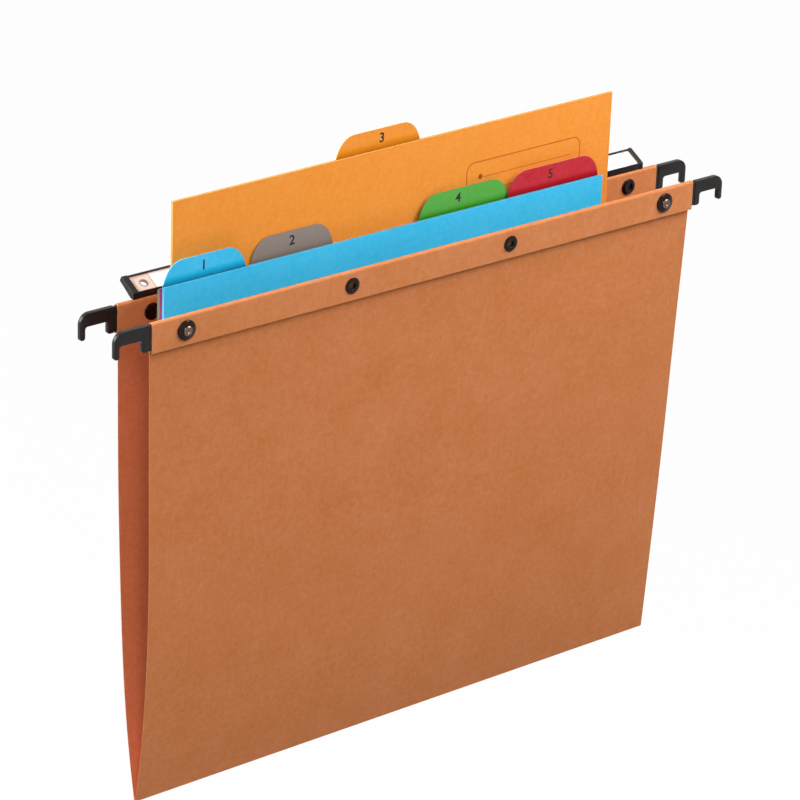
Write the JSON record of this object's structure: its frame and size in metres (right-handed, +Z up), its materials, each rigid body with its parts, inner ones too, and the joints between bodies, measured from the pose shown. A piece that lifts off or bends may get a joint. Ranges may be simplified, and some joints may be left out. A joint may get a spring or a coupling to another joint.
{
  "type": "suspension file",
  "caption": "Hanging suspension file: a card pocket on hooked rails, holding tabbed sub-folders, with a slanting index strip.",
  "frame": {"origin": "midway between the four hooks, at the height where they sit on the drawer's rails", "axes": "+X along the file's own rails, to the right as seen from its front; +Y from the front hem to the rear hem; +Z up"},
  "size_m": [0.4102, 0.0453, 0.3476],
  "materials": {
    "kraft_card": "matte, with fine fibres",
    "blue_card": "matte",
    "red_card": "matte",
    "green_card": "matte",
    "grey_card": "matte",
    "orange_card": "matte",
    "white_paper": "matte",
    "black_plastic": "satin",
    "clear_plastic": "glossy",
    "rail_steel": "plain zinc",
    "rivet_steel": "bronzed nickel"
  },
  "bodies": {
    "rear_frame": {"rear_hem": "kraft_card", "rear_rail": "rail_steel", "rear_left_hook": "black_plastic", "rear_right_hook": "black_plastic", "left_socket": "black_plastic", "right_socket": "black_plastic", "rear_left_eyelet": "black_plastic", "rear_right_eyelet": "black_plastic", "index_holder": "black_plastic", "index_window": "clear_plastic", "index_left_cap": "black_plastic", "index_right_cap": "black_plastic"},
    "rear_panel": {"rear_panel": "kraft_card"},
    "front_panel": {"front_panel": "kraft_card"},
    "front_frame": {"front_hem": "kraft_card", "front_rail": "rail_steel", "front_left_hook": "black_plastic", "front_right_hook": "black_plastic", "left_stud_collar": "black_plastic", "right_stud_collar": "black_plastic", "left_stud_rivet": "rivet_steel", "right_stud_rivet": "rivet_steel", "front_left_eyelet": "black_plastic", "front_right_eyelet": "black_plastic"},
    "blue_sub_folder": {"blue_sub_folder": "blue_card"},
    "red_sub_folder": {"red_sub_folder": "red_card"},
    "green_sub_folder": {"green_sub_folder": "green_card"},
    "grey_sub_folder": {"grey_sub_folder": "grey_card"},
    "orange_sub_folder": {"orange_sub_folder": "orange_card"},
    "index_label": {"index_label": "white_paper"}
  },
  "joints": [
    {"name": "pocket_opening", "type": "hinge", "parent": "rear_frame", "child": "rear_panel", "pos_m": [0, 0.01372, -0.00865], "axis": [-1, 0, 0], "range_deg": [0, 8]},
    {"name": "bottom_fold", "type": "hinge", "parent": "rear_panel", "child": "front_panel", "pos_m": [0, 0, -0.2718], "axis": [-1, 0, 0], "range_deg": [-16, 0]},
    {"name": "front_hem_fold", "type": "hinge", "parent": "front_panel", "child": "front_frame", "pos_m": [0, -0.01372, -0.00865], "axis": [-1, 0, 0], "range_deg": [0, 8]},
    {"name": "blue_lift", "type": "slide", "parent": "rear_panel", "child": "blue_sub_folder", "axis": [0, -0.0115, 0.9999], "range_m": [0, 0.24]},
    {"name": "red_lift", "type": "slide", "parent": "rear_panel", "child": "red_sub_folder", "axis": [0, -0.0115, 0.9999], "range_m": [0, 0.24]},
    {"name": "green_lift", "type": "slide", "parent": "rear_panel", "child": "green_sub_folder", "axis": [0, -0.0115, 0.9999], "range_m": [0, 0.24]},
    {"name": "grey_lift", "type": "slide", "parent": "rear_panel", "child": "grey_sub_folder", "axis": [0, -0.0115, 0.9999], "range_m": [0, 0.24]},
    {"name": "orange_lift", "type": "slide", "parent": "rear_panel", "child": "orange_sub_folder", "axis": [0, -0.0115, 0.9999], "range_m": [-0.042, 0.198]},
    {"name": "label_slide", "type": "slide", "parent": "rear_frame", "child": "index_label", "axis": [1, 0, 0], "range_m": [0, 0.3]}
  ],
  "couplings": [
    {"joint": "bottom_fold", "follows": "pocket_opening", "ratio": -2},
    {"joint": "front_hem_fold", "follows": "pocket_opening", "ratio": 1}
  ]
}
